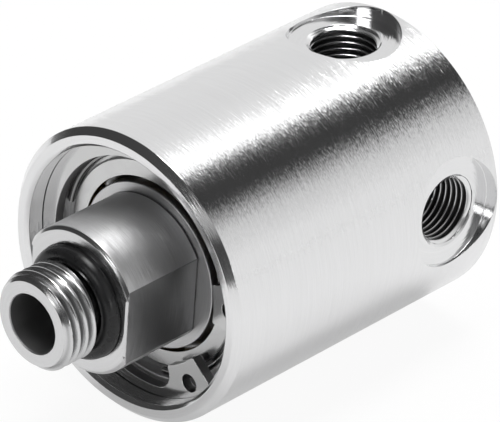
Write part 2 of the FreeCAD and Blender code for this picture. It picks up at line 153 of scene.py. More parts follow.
class Finishes(bpy.types.PropertyGroup):
    """Colours and gloss of the finishes."""

    body: FloatVectorProperty(
        name="Body", description="Turned body's colour", subtype="COLOR", default=(0.76, 0.76, 0.765))
    spindle: FloatVectorProperty(
        name="Spindle", description="Ground spindle's colour", subtype="COLOR", default=(0.63, 0.63, 0.635))
    bearing: FloatVectorProperty(
        name="Bearing", description="Bearing rings' colour", subtype="COLOR", default=(0.58, 0.58, 0.585))
    shield: FloatVectorProperty(
        name="Shield", description="Shields' colour", subtype="COLOR", default=(0.62, 0.62, 0.62))
    # Painted shade: the snap wires' colour is kept dark, for they sit in shade deep in the bore.
    wire: FloatVectorProperty(
        name="Wire", description="Snap wires' colour", subtype="COLOR", default=(0.24, 0.24, 0.24))
    ring: FloatVectorProperty(
        name="Ring", description="Retaining rings' colour", subtype="COLOR", default=(0.60, 0.60, 0.60))
    rubber: FloatVectorProperty(
        name="Rubber", description="Seals' colour", subtype="COLOR", default=(0.012, 0.012, 0.0125))
    brass: FloatVectorProperty(
        name="Brass", description="Cages' colour", subtype="COLOR", default=(0.78, 0.58, 0.27))
    roughness: FloatProperty(
        name="Roughness", description="Mean roughness of the turned body", default=0.14, min=0.02, max=1.0)
    grain: FloatProperty(
        name="Grain", description="Lines of the turned finish per millimetre", default=5.5, min=0.1, max=50.0)


# Modelling with operators


def deselect_all():
    """Leaves object mode clean, with nothing selected or active."""
    if bpy.context.object and bpy.context.object.mode != "OBJECT":
        bpy.ops.object.mode_set(mode="OBJECT")
    bpy.ops.object.select_all(action="DESELECT")


def edit(piece):
    """Enters edit mode on one piece with nothing selected."""
    deselect_all()
    piece.select_set(True)
    bpy.context.view_layer.objects.active = piece
    bpy.ops.object.mode_set(mode="EDIT")
    bpy.ops.mesh.select_all(action="DESELECT")


def leave():
    """Back to object mode."""
    bpy.ops.object.mode_set(mode="OBJECT")


def pick(piece, kind, wanted):
    """Selects the vertices, edges or faces of the piece in edit mode for which wanted(element) holds."""
    bpy.ops.mesh.select_mode(type=kind)
    bpy.ops.mesh.select_all(action="DESELECT")
    mesh = bmesh.from_edit_mesh(piece.data)
    mesh.normal_update()
    for element in {"VERT": mesh.verts, "EDGE": mesh.edges, "FACE": mesh.faces}[kind]:
        if wanted(element):
            element.select_set(True)
    mesh.select_flush_mode()
    bmesh.update_edit_mesh(piece.data)


def move_picked(piece, place):
    """Puts each selected vertex where place(co) says."""
    mesh = bmesh.from_edit_mesh(piece.data)
    for vertex in mesh.verts:
        if vertex.select:
            vertex.co = place(vertex.co)
    mesh.normal_update()
    bmesh.update_edit_mesh(piece.data)


def single_point(name, place):
    """A new piece in edit mode that holds one selected vertex."""
    deselect_all()
    bpy.ops.mesh.primitive_circle_add(vertices=3, radius=MM, location=(0, 0, 0))
    piece = bpy.context.object
    piece.name = piece.data.name = name
    edit(piece)
    pick(piece, "VERT", lambda vertex: vertex.index > 0)
    bpy.ops.mesh.delete(type="VERT")
    bpy.ops.mesh.select_all(action="SELECT")
    move_picked(piece, lambda co: place)
    return piece


def near(place, places):
    """Whether a place is one of these places."""
    return min((place - other).length for other in places) < SAME_PLACE


def outline(name, points, origin, axis, radial, closed):
    """A profile drawn by extruding a point. Each corner is (radius, height, round)."""
    places = [origin + radial * radius + axis * height for radius, height, _ in points]
    piece = single_point(name, places[0])
    for last, place in zip(places, places[1:]):
        bpy.ops.mesh.extrude_region_move(TRANSFORM_OT_translate={"value": place - last})
    if closed:
        pick(piece, "VERT", lambda vertex: near(vertex.co, (places[0], places[-1])))
        bpy.ops.mesh.edge_face_add()
    for size in sorted({corner[2] for corner in points if corner[2] > 0}):
        corners = [place for place, corner in zip(places, points) if corner[2] == size]
        pick(piece, "VERT", lambda vertex: near(vertex.co, corners))
        bpy.ops.mesh.bevel(offset=size, segments=4, affect="VERTICES")
    return piece


def turned(name, points, steps=256, origin=Vector(), axis=AXIS, radial=ACROSS, done=True):
    """A piece spun from its closed profile about an axis."""
    piece = outline(name, points, origin, axis, radial, True)
    bpy.ops.mesh.select_all(action="SELECT")
    bpy.ops.mesh.spin(steps=steps, angle=2 * math.pi, center=origin, axis=axis)
    bpy.ops.mesh.select_all(action="SELECT")
    bpy.ops.mesh.remove_doubles(threshold=SAME_PLACE)
    bpy.ops.mesh.normals_make_consistent(inside=False)
    leave()
    if done:
        smooth(piece)
    return piece


def smooth(piece, degrees=27.0):
    """Smooth shading with sharp edges kept and wide faces flat."""
    deselect_all()
    piece.select_set(True)
    bpy.context.view_layer.objects.active = piece
    bpy.ops.object.shade_smooth_by_angle(angle=math.radians(degrees))
    add_modifier(piece, "WEIGHTED_NORMAL", weight=100, keep_sharp=True)


def add_modifier(piece, kind, **settings):
    """Adds a modifier and applies it."""
    deselect_all()
    piece.select_set(True)
    bpy.context.view_layer.objects.active = piece
    modifier = piece.modifiers.new(kind, kind)
    for name, value in settings.items():
        setattr(modifier, name, value)
    bpy.ops.object.modifier_apply(modifier=modifier.name)


def cut(piece, cutter):
    """Takes a cutter out of a piece and removes the cutter."""
    add_modifier(piece, "BOOLEAN", operation="DIFFERENCE", solver="EXACT", object=cutter)
    bpy.data.objects.remove(cutter)


def weld(piece, other):
    """Makes another closed piece part of this one and removes it."""
    add_modifier(piece, "BOOLEAN", operation="UNION", solver="EXACT", object=other)
    bpy.data.objects.remove(other)


def from_axis(point, origin=Vector(), axis=AXIS):
    """Radius and height of a point about an axis."""
    height = (point - origin).dot(axis)
    return ((point - origin) - axis * height).length, height


def whitworth(pitch, major, points=16):
    """One pitch of a 55 degree thread with rounded crests and roots: (height, radius) pairs, crest first."""
    depth = THREAD_DEPTH * pitch
    rounding = THREAD_ROUND * pitch
    round_end = rounding * math.cos(THREAD_FLANK)
    middle = major - depth / 2
    profile = []
    for i in range(points):
        height = pitch * i / points
        turn = height if height <= pitch / 2 else pitch - height
        to_root = pitch / 2 - turn
        if turn < round_end:
            offset = math.sqrt(max(rounding ** 2 - turn ** 2, 0)) - rounding + depth / 2
        elif to_root < round_end:
            offset = -(math.sqrt(max(rounding ** 2 - to_root ** 2, 0)) - rounding + depth / 2)
        else:
            offset = (pitch / 4 - turn) / math.tan(THREAD_FLANK)
        profile.append((height, middle + offset))
    return profile


def thread(name, pitch, major, start, end, shape, origin=Vector(), axis=AXIS, radial=ACROSS, steps=96):
    """Helical thread surface between two heights, open at both ends. shape(radius, height) trims it."""
    first = start - 1.5 * pitch
    spare_turns = 4
    turns = int((end - start) / pitch) + spare_turns
    heights = [(height + first, radius) for height, radius in whitworth(pitch, major)]
    heights.append((first + pitch, heights[0][1]))
    profile = [(radius, height, 0) for height, radius in heights]
    piece = outline(name, profile, Vector(), AXIS, ACROSS, False)
    leave()
    add_modifier(piece, "SCREW", axis="Y", angle=2 * math.pi, screw_offset=pitch, iterations=turns,
                 steps=steps, render_steps=steps, use_merge_vertices=False)
    edit(piece)
    bpy.ops.mesh.select_all(action="SELECT")
    bpy.ops.mesh.remove_doubles(threshold=SAME_PLACE)
    for height, inner in ((start, True), (end, False)):
        bpy.ops.mesh.select_all(action="SELECT")
        bpy.ops.mesh.bisect(plane_co=AXIS * height, plane_no=AXIS, clear_inner=inner, clear_outer=not inner,
                            threshold=1e-8)
    bpy.ops.mesh.select_all(action="SELECT")
    bpy.ops.mesh.remove_doubles(threshold=2 * SAME_PLACE)
    bpy.ops.mesh.select_all(action="SELECT")
    third = axis.cross(radial)

    def placed(co):
        radius, height = from_axis(co)
        scale = shape(radius, height) / radius
        return origin + radial * co.x * scale + axis * height + third * -co.z * scale

    move_picked(piece, placed)
    return piece


def open_edges(piece, height, origin=Vector(), axis=AXIS):
    """Selects the open edges at a height of the piece in edit mode."""
    slack = 3e-6
    pick(piece, "EDGE", lambda edge: edge.is_boundary and all(
        abs(from_axis(vertex.co, origin, axis)[1] - height) < slack for vertex in edge.verts))


def closed_sleeve(piece, ends, wall):
    """Closes a thread surface in edit mode with a plain wall at another radius."""
    for height in ends:
        open_edges(piece, height)
        bpy.ops.mesh.extrude_region_move()
        move_picked(piece, lambda co: Vector((co.x, 0, co.z)).normalized() * wall + AXIS * co.y)
    pick(piece, "EDGE", lambda edge: edge.is_boundary)
    bpy.ops.mesh.bridge_edge_loops()
    bpy.ops.mesh.select_all(action="SELECT")
    bpy.ops.mesh.normals_make_consistent(inside=False)
    leave()


def finished(piece, body, slot, material, *nodes):
    """Gives a piece its body and its material in one slot, and hides the nodes that it stands for. The slot
    name is not used.
    """
    piece.data.materials.clear()
    piece.data.materials.append(material)
    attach(piece, body)
    if nodes:
        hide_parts(*nodes)
    return piece


# Shader maths


class Field:
    """A shader socket used in Python expressions."""

    def __init__(self, tree, socket):
        self.tree = tree
        self.socket = socket

    def math(self, operation, *values):
        """One step of maths on these values."""
        made = add_node(self.tree, "ShaderNodeMath", {"operation": operation})
        for socket, value in zip(made.inputs, values):
            connect(self.tree, socket, value)
        return Field(self.tree, made.outputs[0])

    def __add__(self, other):
        return self.math("ADD", self, other)

    __radd__ = __add__

    def __sub__(self, other):
        return self.math("SUBTRACT", self, other)

    def __rsub__(self, other):
        return self.math("SUBTRACT", other, self)

    def __mul__(self, other):
        return self.math("MULTIPLY", self, other)

    __rmul__ = __mul__

    def __truediv__(self, other):
        return self.math("DIVIDE", self, other)

    def root(self):
        return self.math("SQRT", self)

    def size(self):
        return self.math("ABSOLUTE", self)

    def at_most(self, other):
        return self.math("MINIMUM", self, other)

    def at_least(self, other):
        return self.math("MAXIMUM", self, other)

    def step(self, start, end):
        """0 before start, 1 after end, smooth between."""
        made = add_node(self.tree, "ShaderNodeMapRange", {"interpolation_type": "SMOOTHSTEP"})
        for socket, value in zip(made.inputs, (self, start, end, 0.0, 1.0)):
            connect(self.tree, socket, value)
        return Field(self.tree, made.outputs[0])

    def between(self, start, end):
        """1 between two soft edges, each given by where it begins and where it is over."""
        return self.step(*start) - self.step(*end)


def connect(tree, socket, value):
    """Links a field to a socket, or sets the socket's own value."""
    if isinstance(value, Field):
        tree.links.new(value.socket, socket)
    elif isinstance(value, bpy.types.NodeSocket):
        tree.links.new(value, socket)
    else:
        socket.default_value = value


def add_node(tree, kind, settings=None, **inputs):
    """Adds a node, with its settings set first, then its sockets' values or links by name."""
    made = tree.nodes.new(kind)
    for name, value in (settings or {}).items():
        if name == "ramp":
            elements = made.color_ramp.elements
            while len(elements) < len(value):
                elements.new(0.5)
            for element, (position, level) in zip(elements, value):
                element.position = position
                element.color = (level, level, level, 1)
        else:
            setattr(made, name, value)
    for name, value in inputs.items():
        connect(tree, made.inputs[name.replace("_", " ")], value)
    return made


def new_material(name, colour, roughness, metallic=1.0):
    """A material with its Principled shader and the piece's own coordinates in millimetres."""
    material = bpy.data.materials.new(name)
    material.use_nodes = True
    tree = material.node_tree
    shader = tree.nodes["Principled BSDF"]
    shader.inputs["Base Color"].default_value = (*colour, 1)
    shader.inputs["Roughness"].default_value = roughness
    shader.inputs["Metallic"].default_value = metallic
    place = add_node(tree, "ShaderNodeTexCoord")
    apart = add_node(tree, "ShaderNodeSeparateXYZ", Vector=place.outputs["Object"])
    x, y, z = (Field(tree, apart.outputs[i]) for i in range(3))
    return material, tree, shader, (x * TO_MM, y * TO_MM, z * TO_MM)


def vector(tree, x, y, z):
    """A vector of three fields."""
    return add_node(tree, "ShaderNodeCombineXYZ", X=x, Y=y, Z=z).outputs[0]


def noise(tree, place, scale, detail=2.0, roughness=0.5):
    """Noise from 0 to 1 at a place."""
    made = add_node(tree, "ShaderNodeTexNoise", Vector=place, Scale=scale, Detail=detail, Roughness=roughness)
    return Field(tree, made.outputs["Fac"])


def tinted(tree, colour, level):
    """A colour multiplied by a level."""
    made = add_node(tree, "ShaderNodeMix", {"data_type": "RGBA", "blend_type": "MULTIPLY"})
    made.inputs[0].default_value = 1.0
    made.inputs[6].default_value = (*colour, 1)
    grey = add_node(tree, "ShaderNodeCombineColor", Red=level, Green=level, Blue=level)
    tree.links.new(grey.outputs[0], made.inputs[7])
    return made.outputs[2]


def turned_finish(name, colour, roughness, grain, lean=0.1, tilt=0.5, shade=0.12, ports=False, painted_shade_and_roughness=None,
                  strength=None):
    """Metal turned about Y: fine lines round the axis, each with its own lean, gloss and tone.

    grain is in lines per millimetre. lean is how far the surface leans round the axis along a
    line, tilt how far it leans across the lines, and strength(y, radius) multiplies both.
    A function of (x, y, z, radius, reach) may give how much shade is painted into a place, such as a
    thread's flank, and how much rougher it is, where reach is the distance from a port's axis.
    """
    material, tree, shader, (x, y, z) = new_material(name, colour, roughness)
    radius = (x * x + z * z).root()
    main_share, other_share = 1.3, 0.7
    along = y * main_share + radius * other_share
    reach = None
    if ports:
        beside_wall = 7.53
        height = y - PORT_Y * TO_MM
        reach_x, reach_z = (height * height + z * z).root(), (height * height + x * x).root()
        reach = reach_x.at_most(reach_z)
        inside = reach.math("LESS_THAN", reach, beside_wall)
        own = radius * main_share + reach * other_share
        along = along + inside * (own - along)

    def streaks(round_scale, across_scale, offset, detail, fineness):
        """Noise drawn out along the lines, from 0 to 1."""
        place = vector(tree, x * round_scale, along * grain * across_scale + offset, z * round_scale)
        return noise(tree, place, 1.0, detail, fineness)

    short = streaks(2.2, 1.25, 0, detail=3.0, fineness=0.6)
    long = streaks(0.12, 1.4, 91, detail=2.0, fineness=0.6)
    lines = streaks(0.3, 2.1, 37, detail=2.0, fineness=0.7)
    gloss_spread, long_share, least_radius, calm_in_ports = 0.12, 0.35, 0.5, 0.65
    gloss = roughness + (long - 0.5) * gloss_spread
    tone = 1.0 - shade * ((long - 0.3).at_least(0.0) + (short - 0.5) * 0.5)
    if painted_shade_and_roughness:
        dark, rough = painted_shade_and_roughness(x, y, z, radius, reach)
        gloss = gloss + rough
        # Shade is painted into the colour here.
        tone = tone * (1.0 - dark)
    connect(tree, shader.inputs["Roughness"], gloss)
    connect(tree, shader.inputs["Base Color"], tinted(tree, colour, tone))
    across = (lines - 0.5) * tilt
    round_axis = ((short - 0.5) * lean + (long - 0.5) * lean * long_share) / radius.at_least(least_radius)
    if strength:
        scale = strength(y, radius)
        across, round_axis = across * scale, round_axis * scale
    if ports:
        scale = 1.0 - inside * calm_in_ports
        across, round_axis = across * scale, round_axis * scale
    out = across / radius.at_least(least_radius)
    leaning = vector(tree, x * out - z * round_axis, across, z * out + x * round_axis)
    turned_along = add_node(tree, "ShaderNodeVectorTransform", {
        "vector_type": "VECTOR", "convert_from": "OBJECT", "convert_to": "WORLD"}, Vector=leaning)
    place = add_node(tree, "ShaderNodeNewGeometry")
    total = add_node(tree, "ShaderNodeVectorMath", {"operation": "ADD"})
    tree.links.new(place.outputs["Normal"], total.inputs[0])
    tree.links.new(turned_along.outputs[0], total.inputs[1])
    unit = add_node(tree, "ShaderNodeVectorMath", {"operation": "NORMALIZE"}, Vector=total.outputs[0])
    tree.links.new(unit.outputs[0], shader.inputs["Normal"])
    return material


def shade_in_ports(x, y, z, radius, reach):
    """Painted shade on the thread flanks in the ports, less on their crests, and in the passages below them;
    these places are rougher too.
    """
    thread_edge, crest_edge = (4.86, 4.92), (4.32, 4.42)
    floor_edge, seal_end = (17.55, 17.85), (40.0, 42.0)
    paler, darker, rougher = 0.8, 0.82, 0.22
    tapped = 1.0 - reach.step(*thread_edge)
    crest = 1.0 - reach.step(*crest_edge)
    below_floor = 1.0 - radius.step(*floor_edge)
    # Painted shade: flanks and passages darkened, crests darkened less.
    dark = tapped * below_floor * y.step(*seal_end) * (1.0 - crest * paler)
    return dark * darker, dark * rougher


def body_strength(y, radius):
    """The front chamfer and the mouth have calmer lines than the barrel, and its rear has bolder ones."""
    front = low("housing").y * TO_MM
    at_mouth, on_barrel, at_rear = 0.25, 0.75, 0.5
    barrel = y.step(front + 0.85, front + 1.1)
    rear = y.step(front + 12, front + 36)
    return at_mouth + barrel * on_barrel + rear * at_rear


def on_collar(radius):
    """1 on the collar's cylinder, 0 elsewhere on the spindle."""
    collar_r = bpy.context.scene.distributor_spindle.collar / 2 * TO_MM
    return radius.step(collar_r - 0.12, collar_r - 0.02)


def spindle_strength(y, radius):
    """The collar's lines lean more than the others."""
    return 0.6 + on_collar(radius) * 0.25


def shade_on_spindle(x, y, z, radius, reach):
    """Painted shade and extra roughness in the thread roots, on the milled flats and in the inlet bore, a
    rougher collar, and a painted contact shadow where the collar meets the bearing.
    """
    sizes = bpy.context.scene.distributor_spindle
    # Painted shade in the thread roots, on the flats and in the inlet bore.
    roots = radius.between((5.0, 5.1), (5.85, 6.45)) * y.between((-3.0, -2.6), (2.25, 2.35))
    beside = (x * math.cos(sizes.flats_turn) + z * math.sin(sizes.flats_turn)).size()
    flat_r, near_side, far_side = sizes.across_flats / 2 * TO_MM, 0.02, 0.04
    flats = beside.between((flat_r - far_side, flat_r - near_side), (flat_r + near_side, flat_r + far_side))
    flats = flats * y.step(5.1, 5.2)
    bore = 1.0 - radius.step(4.1, 4.15)
    end = low("front_bearing_inner_ring").y * TO_MM
    # Painted contact shadow: the collar's rear edge by the bearing, and the seat behind it, darkened.
    painted_contact_shadow = y.step(end - 0.3, end - 0.12) * radius.step(8.2, 8.3)
    # Each place with how much painted shade darkens it and how much rougher it is.
    places = ((roots, 0.64, 0.16), (flats, 0.62, 0.18), (bore, 0.4, 0.3), (on_collar(radius), 0.0, 0.23))
    dark = sum(place * darker for place, darker, _ in places)
    rough = sum(place * rougher for place, _, rougher in places)
    return dark.at_least(painted_contact_shadow * 0.9), rough


def sheet_finish(name, colour, roughness, size=0.25, shade=0.12, stamped=False):
    """Pressed or tumbled metal with a fine, even mottle of a size in millimetres.

    A stamped ring has rougher sheared edges, with shade painted onto them.
    """
    material, tree, shader, (x, y, z) = new_material(name, colour, roughness)
    place = vector(tree, x, y, z)
    fine = noise(tree, place, 1 / size, detail=3.0, roughness=0.55)
    broad = noise(tree, place, 0.35)
    broad_gloss, fine_gloss = 0.1, 0.05
    gloss = roughness + (broad - 0.5) * broad_gloss + (fine - 0.5) * fine_gloss
    tone = 1.0 - shade * (fine * 0.5 + broad * 0.5)
    if stamped:
        lowest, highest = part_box("front_retaining_ring")
        middle, half = (lowest.y + highest.y) / 2 * TO_MM, (highest.y - lowest.y) / 2 * TO_MM
        # The sheared edges are rougher, and shade is painted onto them.
        edge_roughness_and_shade = 1.0 - (y - middle).size().step(half - 0.13, half - 0.08)
        rougher, darker = 0.2, 0.72
        gloss = gloss + edge_roughness_and_shade * rougher
        tone = tone * (1.0 - edge_roughness_and_shade * darker)
    connect(tree, shader.inputs["Roughness"], gloss)
    connect(tree, shader.inputs["Base Color"], tinted(tree, colour, tone))
    bump = add_node(tree, "ShaderNodeBump", Strength=1.0, Distance=0.0004 * MM, Height=fine)
    tree.links.new(bump.outputs[0], shader.inputs["Normal"])
    return material


def rubber_finish(name, colour):
    """Moulded black rubber with a soft bloom and fine pores."""
    material, tree, shader, (x, y, z) = new_material(name, colour, roughness=0.42, metallic=0.0)
    place = vector(tree, x, y, z)
    pores = noise(tree, place, 9.0, detail=3.0, roughness=0.6)
    bloom = noise(tree, place, 0.6)
    shader.inputs["Specular IOR Level"].default_value = 0.28
    connect(tree, shader.inputs["Roughness"], 0.2 + bloom * 0.16)
    connect(tree, shader.inputs["Base Color"], tinted(tree, colour, 0.8 + bloom * 0.6))
    bump = add_node(tree, "ShaderNodeBump", Strength=1.0, Distance=0.001 * MM, Height=pores)
    tree.links.new(bump.outputs[0], shader.inputs["Normal"])
    return material


MATERIALS = {}


def finish_of(kind):
    """The material of a finish, made when first asked for."""
    if kind not in MATERIALS:
        tones = bpy.context.scene.distributor_finishes
        MATERIALS[kind] = {
            "body": lambda: turned_finish(
                "turned_body", tones.body, tones.roughness, tones.grain, lean=0.25, tilt=0.6,
                ports=True, painted_shade_and_roughness=shade_in_ports, strength=body_strength),
            "spindle": lambda: turned_finish(
                "ground_spindle", tones.spindle, 0.18, 6.0, lean=0.03, tilt=0.8,
                painted_shade_and_roughness=shade_on_spindle, strength=spindle_strength),
            "bearing": lambda: turned_finish("bearing_steel", tones.bearing, 0.36, 6.0, tilt=0.3, shade=0.2),
            "spacer": lambda: turned_finish("spacer_steel", tones.bearing, 0.26, 4.0, shade=0.2),
            "shield": lambda: sheet_finish("shield_steel", tones.shield, 0.24),
            # The ring's edges carry painted shade.
            "ring": lambda: sheet_finish("ring_steel", tones.ring, 0.15, size=0.35, stamped=True),
            "wire": lambda: sheet_finish("wire_steel", tones.wire, 0.22, size=0.12, shade=0.1),
            "brass": lambda: turned_finish("cage_brass", tones.brass, 0.28, 4.0, shade=0.15),
            "rubber": lambda: rubber_finish("seal_rubber", tones.rubber),
        }[kind]()
    return MATERIALS[kind]


# Operators


class DISTRIBUTOR_OT_housing(bpy.types.Operator):
    """Turn the housing, cut its four ports and thread them"""

    bl_idname = "distributor.housing"
    bl_label = "Housing"

    def execute(self, context):
        sizes = context.scene.distributor_body
        front, rear = low("housing").y, high("housing").y
        body_r = high("housing").x
        bore_r = high("front_bearing_outer_ring").x + FIT
        groove_r = bore_r + sizes.groove_depth
        ring_front, ring_back = low("front_retaining_ring").y - 0.1 * MM, high("front_retaining_ring").y
        stack_end = high("rear_bearing_outer_ring").y
        relief_r, relief_end = 13.5 * MM, stack_end + 1.6 * MM
        seal_r = high("seal_case").x + FIT
        seal_front, seal_back = low("seal_case").y - MM, high("seal_case").y + 0.4 * MM
        seal_groove_r, seal_groove_front = seal_r + 0.49 * MM, seal_front - 1.1 * MM
        chamber_r, chamber_end = 9.5 * MM, rear - 3 * MM
        edge = sizes.edge
        piece = turned("housing_body", [
            (bore_r + sizes.lead_in, front, edge), (body_r - sizes.chamfer, front, edge),
            (body_r, front + sizes.chamfer, edge), (body_r, rear - sizes.rear_chamfer, edge),
            (body_r - sizes.rear_chamfer, rear, edge), (0, rear, 0), (0, chamber_end, 0),
            (chamber_r, chamber_end, 0), (chamber_r, seal_back, 0), (seal_r, seal_back, 0),
            (seal_r, seal_front, 0), (seal_groove_r, seal_front, 0), (seal_groove_r, seal_groove_front, 0),
            (seal_r, seal_groove_front, 0), (seal_r, relief_end, 0), (relief_r, relief_end, 0),
            (relief_r, stack_end, 0), (bore_r, stack_end, 0), (bore_r, ring_back, edge),
            (groove_r, ring_back, 0), (groove_r, ring_front, 0), (bore_r, ring_front, edge),
            (bore_r, front + sizes.lead_in, edge),
        ], sizes.steps, done=False)
        floor = body_r - sizes.spotface_depth
        bottom = floor - sizes.port_depth
        minor = MOUNTS["outlet_top"]["dims"]["r_mm"] * MM
        for cutter in (self.port_drill, self.port_tap):
            for out in PORT_DIRECTIONS:
                cut(piece, cutter(AXIS * PORT_Y, out, floor, bottom, minor, sizes))
        self.break_rims(piece, body_r, sizes)
        smooth(piece)
        finished(piece, "housing", "turned_body", finish_of("body"), "housing")
        return {"FINISHED"}

    def port_drill(self, origin, out, floor, bottom, minor, sizes):
        """What the drills and the spotface's cutter take out of one port."""
        passage_r, spotface_r = sizes.passage / 2, sizes.spotface / 2
        drill_r = minor - 0.02 * MM
        cone = (minor - passage_r) / math.tan(math.radians(59))
        outside = 1.3 * high("housing").x
        return turned("port_drill", [
            (0, 0, 0), (passage_r, 0, 0), (passage_r, bottom - cone, 0), (drill_r, bottom, 0),
            (drill_r, floor, 0), (spotface_r, floor, 0.1 * MM), (spotface_r, outside, 0), (0, outside, 0),
        ], 128, origin, out, AXIS, done=False)

    def port_tap(self, origin, out, floor, bottom, minor, sizes):
        """What the tap takes out of one port: countersunk at its mouth, and run out above its bottom."""
        major = minor + THREAD_DEPTH * sizes.port_pitch
        mouth, top = sizes.port_mouth / 2, floor + 0.3 * MM
        run_out, countersink = 1.2 * MM, 1.6

        def shape(radius, height):
            share = min(max((height - bottom) / run_out, 0.0), 1.0)
            return max(minor + (radius - minor) * share, mouth - (floor - height) * countersink)

        piece = thread("port_tap", sizes.port_pitch, major, bottom, top, shape, origin, out, AXIS)
        for height in (bottom, top):
            open_edges(piece, height, origin, out)
            bpy.ops.mesh.edge_face_add()
        bpy.ops.mesh.select_all(action="SELECT")
        bpy.ops.mesh.normals_make_consistent(inside=False)
        leave()
        return piece

    def break_rims(self, piece, body_r, sizes):
        """Rounds the edges where the spotfaces meet the barrel."""
        sharp, slack, reach = 0.3, 0.02 * MM, sizes.spotface / 2 + FIT

        def on_rim(vertex):
            return abs(from_axis(vertex.co)[0] - body_r) < slack and abs(vertex.co.y - PORT_Y) < reach

        edit(piece)
        pick(piece, "EDGE", lambda line: len(line.link_faces) == 2 and line.calc_face_angle(0) > sharp
             and all(on_rim(vertex) for vertex in line.verts))
        bpy.ops.mesh.bevel(offset=0.07 * MM, segments=3, affect="EDGES")
        leave()


class DISTRIBUTOR_OT_spindle(bpy.types.Operator):
    """Turn the spindle with its threaded stud and mill its spanner flats"""

    bl_idname = "distributor.spindle"
    bl_label = "Spindle"

    def execute(self, context):
        sizes = context.scene.distributor_spindle
        stud_end, spindle_end = low("spindle").y, high("spindle").y
        major = MOUNTS["inlet_thread"]["dims"]["r_mm"] * MM
        thread_end = MOUNTS["inlet_thread"]["dims"]["length_mm"] / 2 * MM
        collar_y = MOUNTS["collar_face"]["pos_m"][1]
        bearing_y = low("front_bearing_inner_ring").y
        stack_end = high("rear_bearing_inner_ring").y
        groove_r, groove_end = 8.1 * MM, stack_end + 1.1 * MM
        land_end = groove_end + 1.2 * MM
        bore_r, end_r, collar_r = sizes.bore / 2, sizes.stud_end / 2, sizes.collar / 2
        seat_r, journal_r = sizes.seat / 2, sizes.journal / 2
        recess_r, recess_y = sizes.recess / 2, collar_y + sizes.recess_depth
        undercut_r, undercut_round = sizes.undercut / 2, 0.3 * MM
        core_r = major - THREAD_DEPTH * sizes.pitch - 0.06 * MM
        sleeve_r = core_r - 0.5 * MM
        bore_edge, journal_edge, corner = 0.15 * MM, 0.5 * MM, 0.04 * MM

        def shape(radius, height):
            return min(radius, end_r + (height - stud_end))

        screw = thread("stud_thread", sizes.pitch, major, stud_end, thread_end, shape, steps=128)
        closed_sleeve(screw, (stud_end, thread_end), sleeve_r)
        piece = turned("spindle_body", [
            (core_r, stud_end, 0), (bore_r + bore_edge, stud_end, 0.03 * MM),
            (bore_r, stud_end + bore_edge, 0.03 * MM), (bore_r, spindle_end, 0),
            (journal_r - journal_edge, spindle_end, 0), (journal_r, spindle_end - journal_edge, 0),
            (journal_r, land_end, 0), (seat_r, land_end, 0), (seat_r, groove_end, 0),
            (groove_r, groove_end, 0), (groove_r, stack_end, 0), (seat_r, stack_end, 0),
            (seat_r, bearing_y, 0), (collar_r, bearing_y, 0.15 * MM),
            (collar_r, collar_y + sizes.collar_edge, corner),
            (collar_r - sizes.collar_edge, collar_y, corner), (recess_r, collar_y, 0.05 * MM),
            (recess_r, recess_y, 0.1 * MM), (undercut_r, recess_y, undercut_round),
            (undercut_r, thread_end, undercut_round), (core_r, thread_end, 0),
        ], 256, done=False)
        for turn in (0, math.pi):
            cut(piece, self.beside_flat(sizes, collar_y, bearing_y, turn))
        self.break_flats(piece, collar_y, sizes)
        weld(piece, screw)
        smooth(piece)
        finished(piece, "spindle", "ground_spindle", finish_of("spindle"), "spindle")
        return {"FINISHED"}

    def break_flats(self, piece, collar_y, sizes):
        """Chamfers the front edges of the flats."""
        slack, flat = 1e-6, sizes.across_flats / 2
        direction = Vector((math.cos(sizes.flats_turn), 0, math.sin(sizes.flats_turn)))

        def at_front_of_flat(vertex):
            on_flat = abs(abs(vertex.co.dot(direction)) - flat) < slack
            return on_flat and abs(vertex.co.y - collar_y) < slack

        edit(piece)
        pick(piece, "EDGE", lambda line: all(at_front_of_flat(vertex) for vertex in line.verts))
        bpy.ops.mesh.bevel(offset=0.24 * MM, segments=1, affect="EDGES")
        leave()

    def beside_flat(self, sizes, start, end, turn):
        """Block that mills one flat."""
        deselect_all()
        bpy.ops.mesh.primitive_cube_add(size=1)
        block = bpy.context.object
        edit(block)
        bpy.ops.mesh.select_all(action="SELECT")
        depth, width, length = 10 * MM, 30 * MM, end - start + MM
        flat, angle = sizes.across_flats / 2, sizes.flats_turn + turn
        out = Vector((math.cos(angle), 0, math.sin(angle)))
        across = Vector((-math.sin(angle), 0, math.cos(angle)))
        move_picked(block, lambda co: out * (flat + (co.x + 0.5) * depth) + across * co.z * width
                    + AXIS * (start - MM + (co.y + 0.5) * length))
        bpy.ops.mesh.normals_make_consistent(inside=False)
        leave()
        return block


